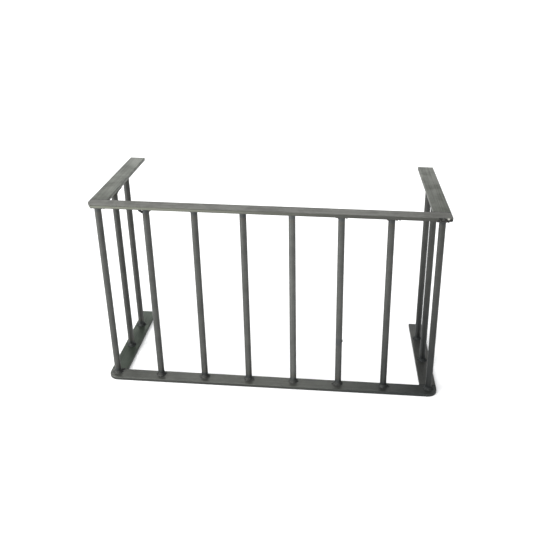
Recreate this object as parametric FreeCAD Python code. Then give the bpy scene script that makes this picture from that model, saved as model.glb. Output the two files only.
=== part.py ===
import FreeCAD, Part
import os

# Hay rack feeder. Two level U-shaped frames of flat bar, one above the other, are joined by
# upright round bars along the front and both sides. The back is open and goes against a wall,
# and the top and bottom are open too. The top arms reach further back than the bottom ones.
# Every joint is welded, so nothing moves.
#
# Millimetres. +X runs along the front rail, +Y towards the wall and +Z up. The origin is the
# middle of the rack seen from above, on the surface it stands on.

# Overall sizes
frame_width = 520.0             # each flat-bar frame, outside to outside
top_frame_depth = 249.0         # front edge of the front rail to the square-cut arm ends
bottom_frame_depth = 225.0      # the bottom arms are the shorter ones
rack_height = 294.0             # underside of the bottom frame to the top of the top frame
sideways_lean = 8.0             # how far the bottom frame sits to the right of the top frame

# Flat bar
flat_width = 25.0
flat_thickness = 5.0
top_corner_radius = 5.0         # outer front corners, seen from above
bottom_corner_radius = 16.0
clip_across = 7.0               # the top left corner is cut off slantwise: along the rail
clip_back = 13.0                # and along the arm's side
edge_rounding = 0.6             # long edges of the rolled flat bar

# Round bar
bar_diameter = 10.0
front_bars = 6                  # evenly spaced between the two corner posts
back_margin = 0.5               # front bars' welds to the front rail's back edge
front_side_bar_setback = 85.5   # corner post's axis to the first side bar's axis
rear_side_bar_setback = 156.5   # corner post's axis to the second side bar's axis
side_bar_drift = 1.6            # how far left of the corner posts the rear side bars stand

# Welds
fillet_leg = 3.0                # fillet around each bar end, along the flat and up the bar
fillet_nose = 0.25              # what is left of the fillet's thickness at its tip
seam_gap = 1.6                  # root gap between a front rail and an arm, filled with weld
inner_corner_leg = 4.0          # weld that fills the inside corner between rail and arm

# Working values
bar_radius = bar_diameter / 2
front_edge = -max(top_frame_depth, bottom_frame_depth) / 2
rail_back_edge = front_edge + flat_width
arm_front_end = rail_back_edge + seam_gap
weld_reach = bar_radius + fillet_leg
post_line = rail_back_edge - back_margin - weld_reach    # axes of front bars and corner posts
post_reach = (frame_width - flat_width) / 2              # corner post's axis from the middle
bar_pitch = 2 * post_reach / (front_bars + 1)
upright_bottom = flat_thickness
upright_top = rack_height - flat_thickness
overrun = 1.0                                            # spare length, trimmed off again

LEVELS = {
    "bottom": {
        "underside": 0.0,
        "middle": sideways_lean / 2,
        "back": front_edge + bottom_frame_depth,
        "corner_radius": bottom_corner_radius,
    },
    "top": {
        "underside": upright_top,
        "middle": -sideways_lean / 2,
        "back": front_edge + top_frame_depth,
        "corner_radius": top_corner_radius,
    },
}
SIDES = {"left": -1, "right": 1}


def box(x_low, x_high, y_low, y_high, z_low, z_high):
    corner = FreeCAD.Vector(x_low, y_low, z_low)
    return Part.makeBox(x_high - x_low, y_high - y_low, z_high - z_low, corner)


def arm_edges(level, side):
    """The inner and outer edge of an arm, as X, in one frame."""
    middle = LEVELS[level]["middle"]
    outer = middle + SIDES[side] * frame_width / 2
    inner = outer - SIDES[side] * flat_width
    return inner, outer


def is_upright(edge):
    return abs(edge.tangentAt(edge.FirstParameter).z) > 0.99


def runs_along_y(edge):
    return abs(edge.tangentAt(edge.FirstParameter).y) > 0.99


def is_rounded_corner(edge, level):
    """Whether an upright edge is one of the front corners that are rounded off."""
    at_front = edge.CenterOfMass.y < front_edge + flat_thickness
    clipped = level == "top" and edge.CenterOfMass.x < LEVELS[level]["middle"]
    return at_front and not clipped


def corner_clip():
    """The slanting cut across the top frame's left corner."""
    left = LEVELS["top"]["middle"] - frame_width / 2
    underside = upright_top - overrun
    outline = [
        FreeCAD.Vector(left, front_edge, underside),
        FreeCAD.Vector(left + clip_across, front_edge, underside),
        FreeCAD.Vector(left, front_edge + clip_back, underside),
    ]
    triangle = Part.Face(Part.makePolygon(outline + outline[:1]))
    return triangle.extrude(FreeCAD.Vector(0, 0, flat_thickness + 2 * overrun))


def front_rail(level):
    """Flat bar across the front: round or clipped outer corners and softened edges all round."""
    middle = LEVELS[level]["middle"]
    underside = LEVELS[level]["underside"]
    rail = box(
        middle - frame_width / 2,
        middle + frame_width / 2,
        front_edge,
        rail_back_edge,
        underside,
        underside + flat_thickness,
    )
    if level == "top":
        rail = rail.cut(corner_clip())
    rounded = [e for e in rail.Edges if is_upright(e) and is_rounded_corner(e, level)]
    rail = rail.makeFillet(LEVELS[level]["corner_radius"], rounded)
    outline = [e for e in rail.Edges if not is_upright(e)]
    return rail.makeFillet(edge_rounding, outline)


def arm(level, side):
    """Flat bar from the front rail back to the wall, cut square at both ends."""
    inner, outer = arm_edges(level, side)
    underside = LEVELS[level]["underside"]
    bar = box(
        min(inner, outer),
        max(inner, outer),
        arm_front_end,
        LEVELS[level]["back"],
        underside,
        underside + flat_thickness,
    )
    return bar.makeFillet(edge_rounding, [e for e in bar.Edges if runs_along_y(e)])


def corner_weld(level, side):
    """Weld between a front rail and an arm: the filled root gap and the inside corner."""
    inner, outer = arm_edges(level, side)
    underside = LEVELS[level]["underside"]
    seam = box(
        min(inner, outer),
        max(inner, outer),
        rail_back_edge,
        arm_front_end,
        underside,
        underside + flat_thickness,
    )
    inward = -SIDES[side] * inner_corner_leg
    outline = [
        FreeCAD.Vector(inner, rail_back_edge, underside),
        FreeCAD.Vector(inner + inward, rail_back_edge, underside),
        FreeCAD.Vector(inner, arm_front_end + inner_corner_leg, underside),
    ]
    triangle = Part.Face(Part.makePolygon(outline + outline[:1]))
    gusset = triangle.extrude(FreeCAD.Vector(0, 0, flat_thickness))
    return seam.fuse(gusset).removeSplitter()


def between_the_frames():
    """The space that the uprights and their welds may fill."""
    reach = frame_width + abs(sideways_lean)
    return box(-reach, reach, 2 * front_edge, -2 * front_edge, upright_bottom, upright_top)


def upright_ends(x, y):
    """Where an upright's axis meets the bottom frame and the top frame."""
    foot = FreeCAD.Vector(x + LEVELS["bottom"]["middle"], y, upright_bottom)
    head = FreeCAD.Vector(x + LEVELS["top"]["middle"], y, upright_top)
    return foot, head


def upright(x, y):
    """Round bar from frame to frame, its ends dressed flat against the flat bars."""
    foot, head = upright_ends(x, y)
    along = (head - foot).normalize()
    length = head.distanceToPoint(foot) + 2 * overrun
    bar = Part.makeCylinder(bar_radius, length, foot - along * overrun, along)
    return bar.common(between_the_frames())


def fillet_weld(x, y, level):
    """Fillet all round one end of an upright."""
    foot, head = upright_ends(x, y)
    start, end = (foot, head) if level == "bottom" else (head, foot)
    along = (end - start).normalize()
    cone = Part.makeCone(
        weld_reach + overrun,
        bar_radius + fillet_nose,
        fillet_leg + overrun,
        start - along * overrun,
        along,
    )
    return cone.common(between_the_frames()).cut(upright(x, y))


def upright_places():
    """Every upright's name and place, before the lean."""
    places = {}
    setbacks = {"front": front_side_bar_setback, "rear": rear_side_bar_setback}
    for side, sign in SIDES.items():
        places["corner_post_" + side] = (sign * post_reach, post_line)
        for row, setback in setbacks.items():
            drift = side_bar_drift * setback / rear_side_bar_setback
            places[f"{side}_side_bar_{row}"] = (sign * post_reach - drift, post_line + setback)
    for number in range(1, front_bars + 1):
        places[f"front_bar_{number}"] = (-post_reach + number * bar_pitch, post_line)
    return places


def build():
    nodes = {}
    for level in LEVELS:
        nodes[level + "_front_rail"] = front_rail(level)
        for side in SIDES:
            nodes[f"{level}_{side}_arm"] = arm(level, side)
            nodes[f"corner_weld_{level}_{side}"] = corner_weld(level, side)
    for name, (x, y) in upright_places().items():
        nodes[name] = upright(x, y)
        for level in LEVELS:
            nodes[f"{name}_weld_{level}"] = fillet_weld(x, y, level)
    return nodes


os.makedirs("parts", exist_ok=True)
for node, shape in build().items():
    shape.exportStep(f"parts/{node}.step")
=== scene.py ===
import math
import random

import bpy
from mathutils import Euler, Matrix, Vector


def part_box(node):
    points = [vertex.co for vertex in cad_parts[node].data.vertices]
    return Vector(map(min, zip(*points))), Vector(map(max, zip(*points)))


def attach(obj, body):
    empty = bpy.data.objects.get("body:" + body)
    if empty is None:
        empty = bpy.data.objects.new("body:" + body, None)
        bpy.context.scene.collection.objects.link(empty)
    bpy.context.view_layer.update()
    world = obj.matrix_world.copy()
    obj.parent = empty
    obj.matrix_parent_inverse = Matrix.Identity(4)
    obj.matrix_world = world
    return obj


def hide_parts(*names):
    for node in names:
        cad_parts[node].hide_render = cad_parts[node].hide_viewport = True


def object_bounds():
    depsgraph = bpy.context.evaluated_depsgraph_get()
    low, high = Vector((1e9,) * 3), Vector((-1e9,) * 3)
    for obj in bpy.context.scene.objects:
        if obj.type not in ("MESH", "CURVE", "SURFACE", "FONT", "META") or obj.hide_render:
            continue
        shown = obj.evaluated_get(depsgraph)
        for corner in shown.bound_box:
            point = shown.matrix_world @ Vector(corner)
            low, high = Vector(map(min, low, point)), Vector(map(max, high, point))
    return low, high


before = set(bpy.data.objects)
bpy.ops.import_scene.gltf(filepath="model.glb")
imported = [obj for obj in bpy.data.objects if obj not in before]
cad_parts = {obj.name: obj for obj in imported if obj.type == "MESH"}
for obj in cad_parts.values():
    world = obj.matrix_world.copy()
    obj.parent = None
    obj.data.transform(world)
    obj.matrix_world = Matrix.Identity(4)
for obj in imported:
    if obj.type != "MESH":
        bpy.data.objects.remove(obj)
cad_low, cad_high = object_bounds()

# Hay rack feeder: the round and flat bars are the CAD's own pieces with a steel finish, every
# weld is replaced by a lumpy hand-laid bead, and one front bar has a small spot of spatter.
# Metres, in the CAD's frame.

MM = 0.001
SIDES = {"left": -1, "right": 1}
LEVELS = {"bottom": 1, "top": -1}  # which way an upright leaves the flat bar


# ---------------------------------------------------------------- sizes from the frame

def middle_of(node):
    low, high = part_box(node)
    return (low + high) / 2


def size_of(node):
    low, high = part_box(node)
    return high - low


UPRIGHTS = [
    node
    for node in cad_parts
    if "weld" not in node and "rail" not in node and "arm" not in node
]
flat_thickness = size_of("top_front_rail").z
bar_radius = size_of("front_bar_1").y / 2
sideways_lean = middle_of("bottom_front_rail").x - middle_of("top_front_rail").x
bottom_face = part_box("bottom_front_rail")[1].z  # top of the bottom frame
top_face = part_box("top_front_rail")[0].z  # underside of the top frame
burr_height = 77.5 * MM  # of the spatter on front_bar_5, above the bottom frame's top face


def bar_end(upright, level):
    """Where an upright's axis meets one frame's face."""
    middle = middle_of(upright)
    if level == "bottom":
        return Vector((middle.x + sideways_lean / 2, middle.y, bottom_face))
    return Vector((middle.x - sideways_lean / 2, middle.y, top_face))


def burr_place():
    """The point on front_bar_5's axis beside its spot of spatter."""
    foot, head = bar_end("front_bar_5", "bottom"), bar_end("front_bar_5", "top")
    return foot.lerp(head, burr_height / (head.z - foot.z))


# ---------------------------------------------------------------- shader arithmetic

class Value:
    """A number on its way through a material, with the usual arithmetic."""

    def __init__(self, finish, socket):
        self.finish = finish
        self.socket = socket

    def maths(self, operation, *operands):
        inputs = dict(enumerate(operands))
        return self.finish.add("ShaderNodeMath", {"operation": operation}, inputs)

    def __add__(self, other):
        return self.maths("ADD", self, other)

    def __sub__(self, other):
        return self.maths("SUBTRACT", self, other)

    def __mul__(self, other):
        return self.maths("MULTIPLY", self, other)

    def __truediv__(self, other):
        return self.maths("DIVIDE", self, other)

    def __rsub__(self, other):
        return self.maths("SUBTRACT", other, self)

    __radd__ = __add__
    __rmul__ = __mul__

    def lower_of(self, other):
        return self.maths("MINIMUM", self, other)

    def size(self):
        return self.maths("ABSOLUTE", self)

    def rising(self, start, end):
        """0 below start, 1 above end, and a smooth rise between."""
        settings = {"interpolation_type": "SMOOTHSTEP"}
        ends = {"Value": self, "From Min": start, "From Max": end}
        return self.finish.add("ShaderNodeMapRange", settings, ends)


class Finish:
    """A material being built up from nodes."""

    def __init__(self, name):
        self.material = bpy.data.materials.new(name)
        self.material.use_nodes = True
        self.tree = self.material.node_tree
        self.shader = self.tree.nodes["Principled BSDF"]

    def feed(self, socket, value):
        if isinstance(value, Value):
            self.tree.links.new(value.socket, socket)
        else:
            socket.default_value = value

    def add(self, kind, settings, inputs, output=0):
        node = self.tree.nodes.new(kind)
        for setting, value in settings.items():
            setattr(node, setting, value)
        for socket, value in inputs.items():
            self.feed(node.inputs[socket], value)
        return Value(self, node.outputs[output])

    def place(self):
        return self.add("ShaderNodeTexCoord", {}, {}, "Object")

    def part_of(self, vector, axis):
        return self.add("ShaderNodeSeparateXYZ", {}, {"Vector": vector}, axis)

    def stretched(self, vector, scale):
        return self.add("ShaderNodeVectorMath", {"operation": "MULTIPLY"}, {0: vector, 1: scale})

    def distance(self, vector, point):
        settings = {"operation": "DISTANCE"}
        return self.add("ShaderNodeVectorMath", settings, {0: vector, 1: point}, "Value")

    def clouds(self, vector, scale, detail=2.0, roughness=0.5):
        inputs = {"Vector": vector, "Scale": scale, "Detail": detail, "Roughness": roughness}
        return self.add("ShaderNodeTexNoise", {}, inputs)

    def tint(self, amount, colour, other):
        """colour where amount is 0 and other where it is 1."""
        inputs = {0: amount, 6: colour, 7: other}
        return self.add("ShaderNodeMix", {"data_type": "RGBA"}, inputs, 2)

    def bump(self, height, depth):
        """Raises the surface by depth, in metres, where height is 1."""
        inputs = {"Height": height, "Strength": 1.0, "Distance": depth}
        return self.add("ShaderNodeBump", {}, inputs)

    def wear(self, **sockets):
        """Sets the shader's own sockets, spaces written as underscores."""
        for name, value in sockets.items():
            self.feed(self.shader.inputs[name.replace("_", " ")], value)
        return self.material


# ---------------------------------------------------------------- finishes

# Colours of the flat bar, the round bar and what heat and slag did to them, and of painted
# highlight, glint and shade
BARE_STEEL = (0.098, 0.100, 0.091, 1)
# Mill scale, and also the painted shade line along the bottom rail's upper front border
DARK_SCALE_AND_SHADE = (0.066, 0.068, 0.064, 1)
# Rolling streaks, and also the painted highlight on the rounded edges
PALE_STREAK_AND_HIGHLIGHT = (0.132, 0.134, 0.124, 1)
ROUND_STEEL = (0.078, 0.080, 0.075, 1)
ROUND_SCALE = (0.052, 0.054, 0.052, 1)
# Painted highlight on the left of the top rail's front edge
LEFT_EDGE_HIGHLIGHT = (0.15, 0.158, 0.137, 1)
BURNT_BLUE = (0.050, 0.056, 0.060, 1)
STRAW_BROWN = (0.085, 0.076, 0.060, 1)
WELD_TONES_AND_SHADE = {  # of the crests and of the slag; the bottom welds' darker tones are painted shade
    "bottom": ((0.066, 0.067, 0.062, 1), (0.048, 0.048, 0.046, 1)),
    "top": ((0.080, 0.080, 0.075, 1), (0.046, 0.046, 0.044, 1)),
}
# Painted shade: on faces turned sideways, along the front edges' rounded borders and on the top
# rail's front edge towards the right
EDGE_PAINTED_SHADE = (0.052, 0.053, 0.052, 1)
EDGE_SHADE = (0.034, 0.035, 0.034, 1)
# Painted shade, low down on the right and on the welds further back
PAINTED_SHADE = (0.024, 0.027, 0.028, 1)
SLAG_BLACK = (0.014, 0.014, 0.014, 1)
# A painted glint at the top rail's right front corner
PAINTED_GLINT = (0.42, 0.42, 0.40, 1)
FRONT_EDGE_LIGHT_AND_SHADE = {  # painted highlight and shade on the front edges: tones at the left, at the right and of the upper border; X where they fade
    "top_front_rail": (LEFT_EDGE_HIGHLIGHT, EDGE_PAINTED_SHADE, EDGE_PAINTED_SHADE, -0.16, 0.15),
    "bottom_front_rail": (EDGE_SHADE, EDGE_SHADE, DARK_SCALE_AND_SHADE, 0.0, 0.20),
}
FLAT_LIGHT_AND_SHADE = {  # painted light and shade: red, green and blue multiplied over a whole piece, lighter or darker as the light falls on it
    "top_front_rail": (1.24, 1.22, 1.16),
    "top_left_arm": (1.06, 1.12, 0.98),
    "top_right_arm": (0.92, 0.96, 0.83),
    "bottom_front_rail": (1.22, 1.23, 1.21),
    "bottom_left_arm": (0.56, 0.68, 0.57),
    "bottom_right_arm": (0.74, 0.74, 0.75),
}
BAR_LIGHT_AND_SHADE = {  # painted light and shade, each bar lighter or darker as the light falls on it; the other bars are plain
    "front_bar_3": 1.1,
    "front_bar_4": 1.4,
    "front_bar_5": 1.2,
    "corner_post_right": 0.78,
    "left_side_bar_front": 0.8,
    "left_side_bar_rear": 0.8,
    "right_side_bar_front": 0.78,
    "right_side_bar_rear": 0.78,
}
BACK_SHADE = {"bottom": 0.6, "top": 0.2}  # painted shade: how much darker the side bars' welds are
BACK_SHADE_DEPTH = (-0.09, -0.04)  # Y where that starts and is full
STREAKS_ALONG = 1 / 0.12  # streaks per metre along the bar
STREAKS_ACROSS = 900.0  # and across it
ROLLING_DEPTH = 0.03 * MM
SLAG_DEPTH = 0.08 * MM
burnt_ring = (8.5 * MM, 12.5 * MM)  # from a weld's middle, where blue-black fades and is gone
straw_middle, straw_reach = 13.5 * MM, 4.5 * MM  # straw-brown ring outside it
shade_along = (0.04, 0.23)  # X where the painted shade at the right end starts and is full
shade_up = (0.01, 0.22)  # Z where it starts to fade and is gone
burr_ring = (6 * MM, 9 * MM)  # the same round the spatter on front_bar_5
upper_border = (0.66, 0.84)  # parts of a front edge's height, where its two painted shade lines fade
lower_border = (0.08, 0.26)
spatter_depth = (1.5 * MM, 4.5 * MM)  # back from the top rail's front edge
spatter_end = (-28 * MM, -18 * MM)  # from the rail's right end
glint_offset = Vector((-7, 0.5, -0.6)) * MM  # from the rail's right front corner
glint_size = (1.0 * MM, 2.4 * MM)  # from its middle, where it fades and is gone
# Noise scales, per metre
flat_patches = 38.0
round_patches = 60.0
steel_grain = 2600.0
slag_lumps = 260.0
weld_slag = 420.0
weld_grain = 2200.0


def heat_marked(finish, colour, heat, strength):
    """Straw brown, then blue-black, where the steel got hot. heat is the distance from a weld."""
    straw = 1 - (heat - straw_middle).size().rising(0.0, straw_reach)
    burnt = 1 - heat.rising(*burnt_ring)
    colour = finish.tint(straw * strength * 0.6, colour, STRAW_BROWN)
    return finish.tint(burnt * strength, colour, BURNT_BLUE)


def painted_shade_low_right(finish, colour, place):
    """Painted shade: darker and bluer low down towards the right."""
    rightwards = finish.part_of(place, "X").rising(*shade_along)
    low_down = 1 - finish.part_of(place, "Z").rising(*shade_up)
    return finish.tint(rightwards * low_down * 0.7, colour, PAINTED_SHADE)


def front_edge_lit_and_shaded(finish, name, colour, place, normal, streaks):
    """Painted light and shade on the front edge: its tone fades from left to right, with a painted
    shade line along its upper border and one along its lower.
    """
    left_tone, right_tone, line_shade, fade_start, fade_end = FRONT_EDGE_LIGHT_AND_SHADE[name]
    front = (finish.part_of(normal, "Y") * -1).rising(0.35, 0.8)
    fade = finish.part_of(place, "X").rising(fade_start, fade_end)
    height = (finish.part_of(place, "Z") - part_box(name)[0].z) / flat_thickness
    edge = finish.tint(fade, left_tone, right_tone)
    upper_shade_line = height.rising(*upper_border) * (1 - fade) * (0.55 + 0.45 * streaks)
    edge = finish.tint(upper_shade_line, edge, line_shade)
    lower_shade_line = 1 - height.rising(*lower_border)
    edge = finish.tint(lower_shade_line * 0.8, edge, EDGE_PAINTED_SHADE)
    return finish.tint(front * (0.65 + 0.35 * streaks), colour, edge)


def spattered_corner(finish, colour, place, normal):
    """Black lumps of slag along the front edge by the right corner, and one painted glint."""
    low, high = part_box("top_front_rail")
    forward = 1 - (finish.part_of(place, "Y") - low.y).rising(*spatter_depth)
    along = (finish.part_of(place, "X") - high.x).rising(*spatter_end)
    lumps = finish.clouds(place, slag_lumps, 2.0).rising(0.42, 0.56)
    colour = finish.tint(forward * along * lumps * 0.85, colour, SLAG_BLACK)
    glint = finish.distance(place, Vector((high.x, low.y, high.z)) + glint_offset)
    return finish.tint((1 - glint.rising(*glint_size)) * 0.9, colour, PAINTED_GLINT)


def steel_marks(finish, place, along, streak_end, patch_scale):
    """Streaks along X, Y or Z, cloudy patches and fine grain, each from 0 to 1."""
    scale = [STREAKS_ACROSS] * 3
    scale["XYZ".index(along)] = STREAKS_ALONG
    streaks = finish.clouds(finish.stretched(place, scale), 1.0, 3.0, 0.6)
    patches = finish.clouds(place, patch_scale, 4.0, 0.6)
    grain = finish.clouds(place, steel_grain, 2.0)
    return streaks.rising(0.35, streak_end), patches.rising(0.35, 0.7), grain


def rolled_steel(name, along, weld_points, welded_side, light_and_shade_tone):
    """Flat bar as it came from the rolling mill, streaked along its length.

    welded_side is 1 where bars are welded on top and -1 where underneath.
    """
    finish = Finish(name)
    place = finish.place()
    streaks, patches, grain = steel_marks(finish, place, along, 0.68, flat_patches)
    heat = finish.distance(place, weld_points[0])
    for point in weld_points[1:]:
        heat = heat.lower_of(finish.distance(place, point))
    colour = finish.tint(patches * 0.55, BARE_STEEL, DARK_SCALE_AND_SHADE)
    colour = finish.tint(streaks * 0.45, colour, PALE_STREAK_AND_HIGHLIGHT)
    normal = finish.add("ShaderNodeNewGeometry", {}, {}, "Normal")
    facing = finish.part_of(normal, "Z")
    welded = (facing * welded_side).rising(0.2, 0.8) * (0.1 + 0.3 * patches)
    colour = heat_marked(finish, colour, heat, welded)
    # Rubbed rounded edges, partly a painted highlight along them
    tilt = facing.size()
    worn_edge_and_highlight = tilt.rising(0.2, 0.5) * (1 - tilt.rising(0.85, 0.98))
    colour = finish.tint(worn_edge_and_highlight * patches.rising(0.1, 0.6) * 0.3, colour, PALE_STREAK_AND_HIGHLIGHT)
    # Painted shade on the faces turned to the sides
    sideways_shade = finish.part_of(normal, "X").size().rising(0.4, 0.9)
    colour = finish.tint(sideways_shade * 0.5, colour, EDGE_PAINTED_SHADE)
    if name in FRONT_EDGE_LIGHT_AND_SHADE:
        colour = front_edge_lit_and_shaded(finish, name, colour, place, normal, streaks)
    if name == "top_front_rail":
        colour = spattered_corner(finish, colour, place, normal)
    # Painted shade low down towards the right of the bottom rail
    if name == "bottom_front_rail":
        colour = painted_shade_low_right(finish, colour, place)
    return finish.wear(
        # The whole piece's painted light and shade
        Base_Color=finish.stretched(colour, light_and_shade_tone),
        Specular_IOR_Level=0.3,
        Specular_Tint=(0.8, 0.8, 0.8, 1),
        Metallic=0.8,
        Roughness=0.40 + 0.12 * patches + 0.08 * grain - 0.10 * streaks,
        Normal=finish.bump(streaks * 0.7 + grain * 0.3, ROLLING_DEPTH),
    )


def drawn_steel(name, light_and_shade_tone):
    """Round bar, with faint lines along it, burnt ends and painted shade low down towards the
    right. The second argument multiplies its colour, as painted light and shade for the bar.
    """
    finish = Finish(name)
    place = finish.place()
    streaks, patches, grain = steel_marks(finish, place, "Z", 0.7, round_patches)
    height = finish.part_of(place, "Z")
    from_burr = finish.distance(place, burr_place())
    from_weld = (height - bottom_face).lower_of(top_face - height)
    colour = finish.tint(patches * 0.5, ROUND_STEEL, ROUND_SCALE)
    colour = finish.tint(streaks * 0.35, colour, BARE_STEEL)
    colour = heat_marked(finish, colour, from_weld + 1 * MM, 0.5)
    colour = finish.tint((1 - from_burr.rising(*burr_ring)) * 0.6, colour, BURNT_BLUE)
    # Painted shade low down towards the right
    colour = painted_shade_low_right(finish, colour, place)
    return finish.wear(
        Base_Color=finish.stretched(colour, (light_and_shade_tone, light_and_shade_tone, light_and_shade_tone)),
        Metallic=0.8,
        Roughness=0.44 + 0.10 * patches + 0.08 * grain - 0.08 * streaks,
        Normal=finish.bump(streaks * 0.7 + grain * 0.3, ROLLING_DEPTH),
    )


def weld_metal(level):
    """Dark slag-dusted weld with brighter crests, with painted shade further back and low down
    towards the right.
    """
    finish = Finish(f"weld_metal_{level}")
    crest, dusted = WELD_TONES_AND_SHADE[level]
    place = finish.place()
    slag = finish.clouds(place, weld_slag, 4.0, 0.65).rising(0.38, 0.66)
    grain = finish.clouds(place, weld_grain, 3.0)
    colour = finish.tint(slag, crest, dusted)
    colour = finish.tint(grain.rising(0.6, 0.8) * 0.4, colour, STRAW_BROWN)
    # Painted shade on the welds further back
    behind = finish.part_of(place, "Y").rising(*BACK_SHADE_DEPTH)
    colour = finish.tint(behind * BACK_SHADE[level], colour, PAINTED_SHADE)
    return finish.wear(
        Base_Color=painted_shade_low_right(finish, colour, place),
        Metallic=0.8,
        Roughness=0.60 + 0.25 * slag,
        Normal=finish.bump(slag * 0.6 + grain * 0.4, SLAG_DEPTH),
    )


def floor_paper(name):
    """Matt pale paper with a faint glow, which keeps the floor pale."""
    finish = Finish(name)
    return finish.wear(
        Base_Color=(0.86, 0.86, 0.86, 1),
        Roughness=0.9,
        Emission_Color=(1, 1, 1, 1),
        Emission_Strength=0.1,
    )


def coat(thing, material):
    """Gives a piece this material only."""
    thing.data.materials.clear()
    thing.data.materials.append(material)


# ---------------------------------------------------------------- welds

def select_only(thing):
    bpy.ops.object.select_all(action="DESELECT")
    thing.select_set(True)
    bpy.context.view_layer.objects.active = thing


def apply_modifier(thing, kind, **settings):
    modifier = thing.modifiers.new(kind.lower(), kind)
    for setting, value in settings.items():
        setattr(modifier, setting, value)
    select_only(thing)
    bpy.ops.object.modifier_apply(modifier=modifier.name)


def settle(thing):
    """Puts the place of a finished piece into its mesh."""
    select_only(thing)
    bpy.ops.object.transform_apply(location=True, rotation=True, scale=True)


def drop_of_weld(place, radius, flat=1.0):
    """Adds one drop of molten metal, pressed flat in height, to the mesh in edit mode."""
    bpy.ops.mesh.select_all(action="DESELECT")
    bpy.ops.mesh.primitive_uv_sphere_add(segments=16, ring_count=10, radius=radius, location=place)
    if flat != 1.0:
        bpy.ops.transform.resize(value=(1, 1, flat), center_override=place)


melt_unevenness = bpy.data.textures.new("melt_unevenness", "CLOUDS")
melt_unevenness.noise_scale = 1.6 * MM
unevenness_depth = 0.35 * MM


def melt_together(thing, grain):
    """Runs a heap of drops into one bead."""
    apply_modifier(thing, "REMESH", mode="VOXEL", voxel_size=grain)
    apply_modifier(thing, "SMOOTH", factor=0.6, iterations=5)
    apply_modifier(
        thing,
        "DISPLACE",
        texture=melt_unevenness,
        strength=unevenness_depth,
        texture_coords="GLOBAL",
    )
    select_only(thing)
    bpy.ops.object.shade_smooth()


# Each bead's collar up the bar and skirt along the flat bar, as (leg, height), and its drops'
# distances from the bar and radii, in mm
BEADS = {
    "bottom": {"collar": (2.6, 4.0), "skirt": (3.4, 0.9), "reach": (2.2, 3.4), "drop": (0.5, 0.8)},
    "top": {"collar": (1.6, 3.6), "skirt": (3.4, 1.5), "reach": (0.8, 2.3), "drop": (1.1, 1.9)},
}
sunk = 0.5 * MM  # how deep a bead reaches into the flat bar
collar_tip = 0.15 * MM
skirt_tip = 0.6 * MM
drops_round = 13
drop_lift = 0.2 * MM  # off the flat bar
pressed = 0.85  # height of a drop over its width
bead_grain = 0.36 * MM  # how fine each kind of weld is melted together
corner_grain = 0.4 * MM
burr_grain = 0.25 * MM


def ring_of_weld(end, level, leg, tip, height):
    """Adds a tapered ring round a bar, leg wide at the flat bar and tip wide at its far end."""
    away = Vector((0, 0, LEVELS[level]))
    wide, narrow = bar_radius + leg, bar_radius + tip
    bpy.ops.mesh.primitive_cone_add(
        vertices=40,
        radius1=wide if level == "bottom" else narrow,
        radius2=narrow if level == "bottom" else wide,
        depth=height + sunk,
        location=end + away * (height - sunk) / 2,
    )


def bar_bead(upright, level, runs, chance):
    """The weld round one end of a bar: a collar, a skirt and drops that melt together.

    runs are drops where the hand slipped, as (right, back, off the flat bar, radius) in mm.
    """
    end = bar_end(upright, level)
    away = Vector((0, 0, LEVELS[level]))
    bpy.ops.object.select_all(action="DESELECT")
    leg, height = BEADS[level]["collar"]
    ring_of_weld(end, level, leg * MM, collar_tip, height * MM)
    bead = bpy.context.active_object
    bead.name = f"bead_{upright}_{level}"
    settle(bead)
    bpy.ops.object.mode_set(mode="EDIT")
    bpy.ops.mesh.select_all(action="DESELECT")
    leg, height = BEADS[level]["skirt"]
    ring_of_weld(end, level, leg * MM, skirt_tip, height * MM)
    turn_start = chance.uniform(0, math.tau)
    for number in range(drops_round):
        turn = turn_start + math.tau * (number + chance.uniform(-0.35, 0.35)) / drops_round
        reach = bar_radius + chance.uniform(*BEADS[level]["reach"]) * MM
        across = Vector((math.cos(turn), math.sin(turn), 0)) * reach
        radius = chance.uniform(*BEADS[level]["drop"]) * MM
        drop_of_weld(end + across + away * drop_lift, radius, pressed)
    for right, back, off, radius in runs:
        place = end + Vector((right, back, 0)) * MM + away * off * MM
        drop_of_weld(place, radius * MM, pressed)
    bpy.ops.object.mode_set(mode="OBJECT")
    melt_together(bead, bead_grain)
    return bead


CORNER_BULK = {"bottom": 0.6, "top": 1.0}  # size of the lump in the inside corner
lump_radius = 2.2 * MM
corner_drops = 6
corner_pressed = 0.8
seam_rounding = 0.25 * MM


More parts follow.
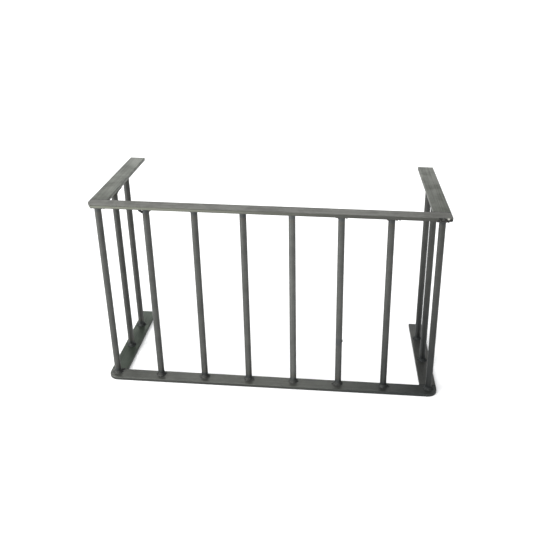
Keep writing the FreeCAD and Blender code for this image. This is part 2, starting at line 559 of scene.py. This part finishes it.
def corner_bead(level, side, chance):
    """The weld between a front rail and an arm: a ground seam and a lump in the inside corner."""
    node = f"corner_weld_{level}_{side}"
    low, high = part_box(node)
    inward = -SIDES[side]
    bulk = CORNER_BULK[level]
    arm_low, arm_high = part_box(f"{level}_{side}_arm")
    seam_low = Vector((arm_low.x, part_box(f"{level}_front_rail")[1].y, low.z))
    seam_high = Vector((arm_high.x, arm_low.y, high.z))
    bpy.ops.object.select_all(action="DESELECT")
    bpy.ops.mesh.primitive_cube_add(
        size=1, location=(seam_low + seam_high) / 2, scale=seam_high - seam_low
    )
    seam = bpy.context.active_object
    seam.name = f"bead_{node}"
    settle(seam)
    apply_modifier(seam, "BEVEL", width=seam_rounding, segments=2)
    inner = arm_low.x if side == "right" else arm_high.x
    bpy.ops.object.select_all(action="DESELECT")
    corner = Vector((inner, seam_low.y, (low.z + high.z) / 2))
    bpy.ops.mesh.primitive_cylinder_add(
        vertices=24, radius=lump_radius * bulk, depth=flat_thickness * 0.8, location=corner
    )
    lump = bpy.context.active_object
    settle(lump)
    bpy.ops.object.mode_set(mode="EDIT")
    for number in range(corner_drops):
        along = chance.uniform(-0.4, 3.6) * MM * bulk
        across = inward * chance.uniform(0.0, 2.6) * MM * bulk
        lift = chance.uniform(-0.22, 0.22) * flat_thickness
        radius = chance.uniform(1.3, 1.9) * MM * bulk
        drop_of_weld(corner + Vector((across, along, lift)), radius, corner_pressed)
    bpy.ops.object.mode_set(mode="OBJECT")
    melt_together(lump, corner_grain)
    select_only(seam)
    lump.select_set(True)
    bpy.ops.object.join()
    return seam


# Drops outside a bead's ring, as (right, back, off the flat bar, radius) in mm from the axis
STRAY_RUNS = {
    ("front_bar_1", "top"): [
        (-5.0, -2, 9.0, 1.3), (-5.4, -3, 7.6, 1.7), (-6.2, -4, 6.0, 2.1), (-7.4, -5, 4.6, 2.3),
        (-8.4, -5, 3.0, 2.0), (-9.4, -6, 1.6, 1.8),
        (4.9, -2, 7.4, 1.3), (5.4, -3, 6.0, 1.7), (6.4, -4, 4.4, 2.0), (8.2, -6, 2.8, 1.9),
    ],
    ("left_side_bar_front", "top"): [
        (5.0, 0, 11.0, 1.4), (5.3, 0, 9.0, 1.8), (6.0, 0, 7.0, 2.2), (7.2, 1, 5.2, 2.4),
        (8.6, 2, 3.6, 2.4), (10.0, 4, 2.2, 2.1), (10.8, 8, 1.2, 1.8), (6.0, -3, 2.5, 2.4),
    ],
    ("left_side_bar_rear", "top"): [(5.6, 0, 5.0, 1.8), (7.0, 1, 3.0, 2.1), (9.0, 2, 1.2, 1.9)],
    ("corner_post_left", "top"): [
        (4.5, -5, 3.0, 2.2), (7.0, -8, 1.8, 2.0), (10.0, -11, 1.0, 1.8), (14.0, -13, 0.5, 1.5),
        (-4.5, -5, 2.6, 2.2), (-6.5, -9, 1.4, 2.0),
    ],
    ("corner_post_right", "top"): [
        (-5, -6, 3.0, 2.3), (-8, -10, 1.6, 2.2), (-12, -13, 0.9, 2.0), (-3, -12, 1.0, 2.3),
        (2, -13.5, 0.7, 2.0), (6, -12, 0.9, 2.1), (-16, -14, 0.2, 1.6), (5, -7, 2.4, 2.0),
    ],
    ("front_bar_2", "top"): [(-4.5, -4, 3.2, 1.9), (4.5, -4, 3.2, 1.8)],
    ("front_bar_4", "top"): [(4.8, -3, 3.4, 1.7)],
    ("front_bar_5", "top"): [
        (-4.5, -6, 3.2, 2.2), (-7.5, -10, 1.2, 2.0), (3.5, -9, 2.0, 2.2), (7, -13, 0.6, 1.8),
    ],
    ("front_bar_6", "top"): [
        (-4.5, -6, 3.4, 2.2), (-6, -12, 1.0, 2.1), (2, -13, 0.8, 2.0), (6, -9, 2.0, 2.1),
        (10, -13, 0.4, 1.7),
    ],
    ("front_bar_6", "bottom"): [(6.5, 1, 0.4, 1.8), (9, -1, 0.0, 1.5), (-6.5, -1, 0.3, 1.7)],
    ("front_bar_5", "bottom"): [(-6.5, -2, 0.2, 1.8), (-9, -2.5, 0.0, 1.4)],
    ("front_bar_1", "bottom"): [(3, -6.5, 0.2, 1.9), (1, -8.5, 0.0, 1.5)],
    ("front_bar_3", "bottom"): [(6, -3, 0.2, 1.7), (8, -3, 0.0, 1.5)],
    ("corner_post_left", "bottom"): [(5, 5, 0.4, 2.0), (7.5, 8, 0.0, 1.7)],
}
# The spatter's drops, as (right, back, up, radius) in mm from the bar's axis
BURR = [(4.6, 0.3, 0.9, 1.3), (4.9, 0.0, -0.6, 1.2), (4.1, -2.2, 0.2, 1.0), (3.4, -3.6, -0.1, 0.8)]

WELD_METAL = {level: weld_metal(level) for level in LEVELS}
hand = random.Random(7)


def place_beads():
    """Puts a bead in place of every CAD weld."""
    beads = []
    for upright in sorted(UPRIGHTS):
        for level in LEVELS:
            runs = STRAY_RUNS.get((upright, level), [])
            bead = bar_bead(upright, level, runs, hand)
            beads.append((bead, f"{upright}_weld_{level}", level))
    for level in LEVELS:
        for side in SIDES:
            bead = corner_bead(level, side, hand)
            beads.append((bead, f"corner_weld_{level}_{side}", level))
    for bead, node, level in beads:
        coat(bead, WELD_METAL[level])
        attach(bead, "root")
        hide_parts(node)


def place_burr():
    """A spot of spatter that stuck to the side of one bar, a third of the way up."""
    centre = burr_place()
    bpy.ops.object.select_all(action="DESELECT")
    right, back, up, radius = BURR[0]
    place = centre + Vector((right, back, up)) * MM
    bpy.ops.mesh.primitive_uv_sphere_add(
        segments=16, ring_count=10, radius=radius * MM, location=place
    )
    burr = bpy.context.active_object
    burr.name = "spatter_front_bar_5"
    settle(burr)
    bpy.ops.object.mode_set(mode="EDIT")
    for right, back, up, radius in BURR[1:]:
        drop_of_weld(centre + Vector((right, back, up)) * MM, radius * MM)
    bpy.ops.object.mode_set(mode="OBJECT")
    melt_together(burr, burr_grain)
    coat(burr, WELD_METAL["top"])
    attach(burr, "root")


place_beads()
place_burr()

# ---------------------------------------------------------------- steel


def welds_on(piece):
    """The bar ends that are welded to a flat piece."""
    low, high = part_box(piece)
    level = piece.split("_")[0]
    ends = [bar_end(upright, level) for upright in sorted(UPRIGHTS)]
    return [end for end in ends if low.x < end.x < high.x and low.y < end.y < high.y]


def coat_steel():
    """Finishes the round and the flat bars."""
    for upright in UPRIGHTS:
        finish = drawn_steel(f"steel_{upright}", BAR_LIGHT_AND_SHADE.get(upright, 1.0))
        coat(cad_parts[upright], finish)
    for piece, light_and_shade_tone in FLAT_LIGHT_AND_SHADE.items():
        along = "X" if "rail" in piece else "Y"
        welded_side = LEVELS[piece.split("_")[0]]
        finish = rolled_steel(piece, along, welds_on(piece), welded_side, light_and_shade_tone)
        coat(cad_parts[piece], finish)


coat_steel()

# ---------------------------------------------------------------- studio

floor_size = 60
floor_gap = 0.2 * MM  # below the rack
pale_sky = (0.96, 0.98, 1.0, 1)
sky_strength = 0.4
key_strength = 3.6
key_softness = math.radians(60)
key_turn = (math.radians(35), 0, math.radians(-50))
camera_heading, camera_tilt, camera_roll = (math.radians(a) for a in (4.397, -25.029, 0.683))
camera_place = (0.0822, -1.0692, 0.6392)
camera_lens = 46.94


def lay_floor():
    bpy.ops.object.select_all(action="DESELECT")
    bpy.ops.mesh.primitive_plane_add(size=floor_size, location=(0, 0, cad_low.z - floor_gap))
    floor = bpy.context.active_object
    floor.name = "floor"
    coat(floor, floor_paper("floor_paper"))


def soft_panel(name, place, aim, width, height, power):
    """A soft box that shines from place towards aim and stays out of the picture itself."""
    data = bpy.data.lights.new(name, "AREA")
    data.shape = "RECTANGLE"
    data.size, data.size_y = width, height
    data.energy = power
    panel = bpy.data.objects.new(name, data)
    bpy.context.scene.collection.objects.link(panel)
    panel.location = place
    panel.rotation_euler = (Vector(aim) - Vector(place)).to_track_quat("-Z", "Y").to_euler()
    panel.visible_camera = False


def light_studio():
    """Pale surroundings, a broad key light from the front left and panels behind and left."""
    world = bpy.data.worlds.new("studio")
    bpy.context.scene.world = world
    world.use_nodes = True
    background = world.node_tree.nodes["Background"]
    background.inputs["Color"].default_value = pale_sky
    background.inputs["Strength"].default_value = sky_strength
    sun_data = bpy.data.lights.new("key", "SUN")
    sun_data.energy = key_strength
    sun_data.angle = key_softness
    sun = bpy.data.objects.new("key", sun_data)
    bpy.context.scene.collection.objects.link(sun)
    sun.rotation_euler = key_turn
    soft_panel(
        "back_panel", (-0.6, 2.4, 0.75), aim=(0, 0, 0.29), width=2.9, height=0.7, power=20
    )
    soft_panel(
        "left_panel", (-1.5, -1.0, 0.55), aim=(0, -0.1, 0.15), width=0.45, height=1.1, power=20
    )


def set_camera():
    """A camera in front of the rack, a little to the right, looking down."""
    camera_data = bpy.data.cameras.new("camera")
    camera = bpy.data.objects.new("camera", camera_data)
    bpy.context.scene.collection.objects.link(camera)
    level_turn = Euler((math.pi / 2 + camera_tilt, 0, camera_heading)).to_matrix()
    turn = level_turn @ Matrix.Rotation(camera_roll, 3, "Z")
    camera.rotation_euler = turn.to_euler()
    camera.location = camera_place
    camera_data.sensor_width = 36
    camera_data.lens = camera_lens
    bpy.context.scene.camera = camera


lay_floor()
light_studio()
set_camera()
bpy.context.scene.view_settings.view_transform = "Standard"
